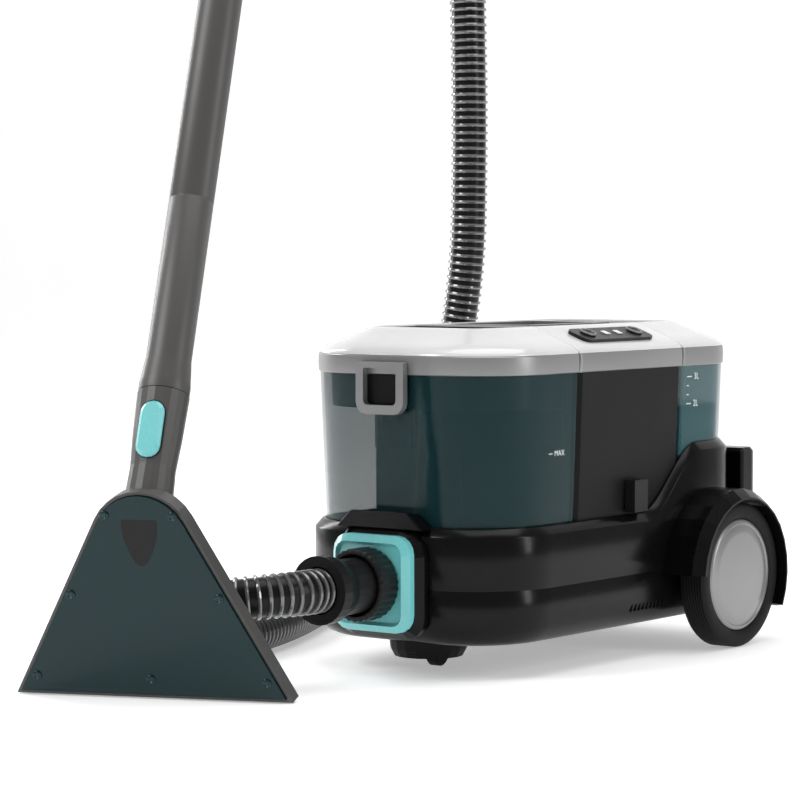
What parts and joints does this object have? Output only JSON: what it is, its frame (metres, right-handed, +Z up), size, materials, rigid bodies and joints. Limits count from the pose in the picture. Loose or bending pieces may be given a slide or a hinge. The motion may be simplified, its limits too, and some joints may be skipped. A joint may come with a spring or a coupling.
{
  "type": "carpet cleaner machine",
  "caption": "Wheeled spray-extraction carpet cleaner with lift-out clean and dirty water tanks, a ribbed suction hose and a floor wand with a triangular clear-fronted nozzle.",
  "frame": {"origin": "on the floor, under the centre of the box that holds the machine and its wand, without the hose", "axes": "+Z up; the hose port faces -Y; +X is the side with the control panel"},
  "size_m": [0.5441, 0.8387, 1.0723],
  "materials": {
    "black": "gloss",
    "charcoal": "matte",
    "graphite": "satin",
    "warm_grey": "satin",
    "silver": "satin metallic",
    "pearl_white": "gloss",
    "clear_teal": "clear gloss",
    "turquoise": "satin",
    "tyre": "satin",
    "steel": "brushed",
    "motor": "satin",
    "board": "satin",
    "lamp": "gloss",
    "hose": "gloss"
  },
  "bodies": {
    "machine": {"base_shell": "black", "base_tray": "black", "caster_dome": "black", "circuit_board": "board", "column": "charcoal", "column_cover": "pearl_white", "column_trim": "silver", "control_panel": "graphite", "cord_gland": "black", "fender_left": "black", "fender_right": "black", "grip": "warm_grey", "grip_cuff": "black", "hose": "hose", "hose_cuff": "black", "nozzle_body": "warm_grey", "nozzle_window": "clear_teal", "port_block": "black", "port_plate": "turquoise", "power_lamp": "lamp", "pump_lamp": "lamp", "rear_axle": "steel", "rear_housing": "black", "rear_stand": "charcoal", "suction_motor": "motor", "wand_tube": "warm_grey", "water_pump": "motor", "window_screw_1": "steel", "window_screw_2": "steel", "window_screw_3": "steel", "window_screw_4": "steel", "window_screw_5": "steel", "window_screw_6": "steel", "window_screw_7": "steel"},
    "wheel_left": {"tyre_left": "tyre", "hub_left": "black", "wheel_cap_left": "silver"},
    "wheel_right": {"tyre_right": "tyre", "hub_right": "black", "wheel_cap_right": "silver"},
    "caster_swivel": {"caster_fork": "black"},
    "caster_wheel": {"caster_wheel": "tyre"},
    "dirty_tank": {"dirty_tank": "clear_teal", "inlet_duct": "black"},
    "tank_lid": {"tank_lid": "pearl_white", "front_trim": "silver", "float_cage": "black"},
    "float": {"float": "pearl_white"},
    "lid_latch": {"lid_latch": "silver"},
    "clean_tank": {"clean_tank": "clear_teal"},
    "clean_tank_lid": {"clean_tank_lid": "pearl_white", "rear_trim": "silver"},
    "carry_handle": {"carry_handle": "silver"},
    "power_button": {"power_button": "black"},
    "pump_button": {"pump_button": "black"},
    "lock_ring": {"lock_ring": "black"},
    "catch_left": {"catch_left": "black"},
    "catch_right": {"catch_right": "black"},
    "nozzle_button": {"nozzle_button": "turquoise"},
    "spray_trigger": {"spray_trigger": "turquoise"}
  },
  "joints": [
    {"name": "wheel_left_spin", "type": "hinge", "parent": "machine", "child": "wheel_left", "pos_m": [0.0788, 0.27353, 0.075], "axis": [1, 0, 0], "continuous": true},
    {"name": "wheel_right_spin", "type": "hinge", "parent": "machine", "child": "wheel_right", "pos_m": [0.0788, 0.27353, 0.075], "axis": [1, 0, 0], "continuous": true},
    {"name": "caster_swivel_turn", "type": "hinge", "parent": "machine", "child": "caster_swivel", "pos_m": [0.0788, -0.04047, 0], "axis": [0, 0, 1], "continuous": true},
    {"name": "caster_wheel_spin", "type": "hinge", "parent": "caster_swivel", "child": "caster_wheel", "pos_m": [0.0788, -0.02647, 0.012], "axis": [1, 0, 0], "continuous": true},
    {"name": "dirty_tank_lift", "type": "slide", "parent": "machine", "child": "dirty_tank", "axis": [0, 0, 1], "range_m": [0, 0.15]},
    {"name": "tank_lid_lift", "type": "slide", "parent": "dirty_tank", "child": "tank_lid", "axis": [0, 0, 1], "range_m": [0, 0.1]},
    {"name": "float_rise", "type": "slide", "parent": "tank_lid", "child": "float", "axis": [0, 0, 1], "range_m": [0, 0.036]},
    {"name": "lid_latch_turn", "type": "hinge", "parent": "tank_lid", "child": "lid_latch", "pos_m": [0.0758, -0.11227, 0.302], "axis": [-1, 0, 0], "range_deg": [0, 70]},
    {"name": "clean_tank_lift", "type": "slide", "parent": "machine", "child": "clean_tank", "axis": [0, 0, 1], "range_m": [0, 0.12]},
    {"name": "clean_tank_lid_lift", "type": "slide", "parent": "clean_tank", "child": "clean_tank_lid", "axis": [0, 0, 1], "range_m": [0, 0.08]},
    {"name": "carry_handle_turn", "type": "hinge", "parent": "machine", "child": "carry_handle", "pos_m": [0.0788, 0.20053, 0.3325], "axis": [-1, 0, 0], "range_deg": [0, 90]},
    {"name": "power_button_press", "type": "slide", "parent": "machine", "child": "power_button", "axis": [-0.3625, 0, -0.932], "range_m": [0, 0.0015], "stiffness_N_per_m": 400},
    {"name": "pump_button_press", "type": "slide", "parent": "machine", "child": "pump_button", "axis": [-0.3625, 0, -0.932], "range_m": [0, 0.0015], "stiffness_N_per_m": 400},
    {"name": "lock_ring_turn", "type": "hinge", "parent": "machine", "child": "lock_ring", "pos_m": [0.0788, -0.13437, 0.092], "axis": [0, -1, 0], "range_deg": [0, 45]},
    {"name": "catch_left_turn", "type": "hinge", "parent": "machine", "child": "catch_left", "pos_m": [-0.05004, 0.13453, 0.154], "axis": [0, -1, 0], "range_deg": [0, 10]},
    {"name": "catch_right_turn", "type": "hinge", "parent": "machine", "child": "catch_right", "pos_m": [0.20764, 0.13453, 0.154], "axis": [0, 1, 0], "range_deg": [0, 10]},
    {"name": "nozzle_button_press", "type": "slide", "parent": "machine", "child": "nozzle_button", "axis": [-0.3453, 0.8419, -0.4147], "range_m": [0, 0.0025], "stiffness_N_per_m": 500},
    {"name": "spray_trigger_pull", "type": "hinge", "parent": "machine", "child": "spray_trigger", "pos_m": [-0.16893, 0.0495, 1.01526], "axis": [0.9252, 0.3795, 0], "range_deg": [0, 8], "stiffness_Nm_per_rad": 0.3, "springref_deg": -20.05}
  ]
}
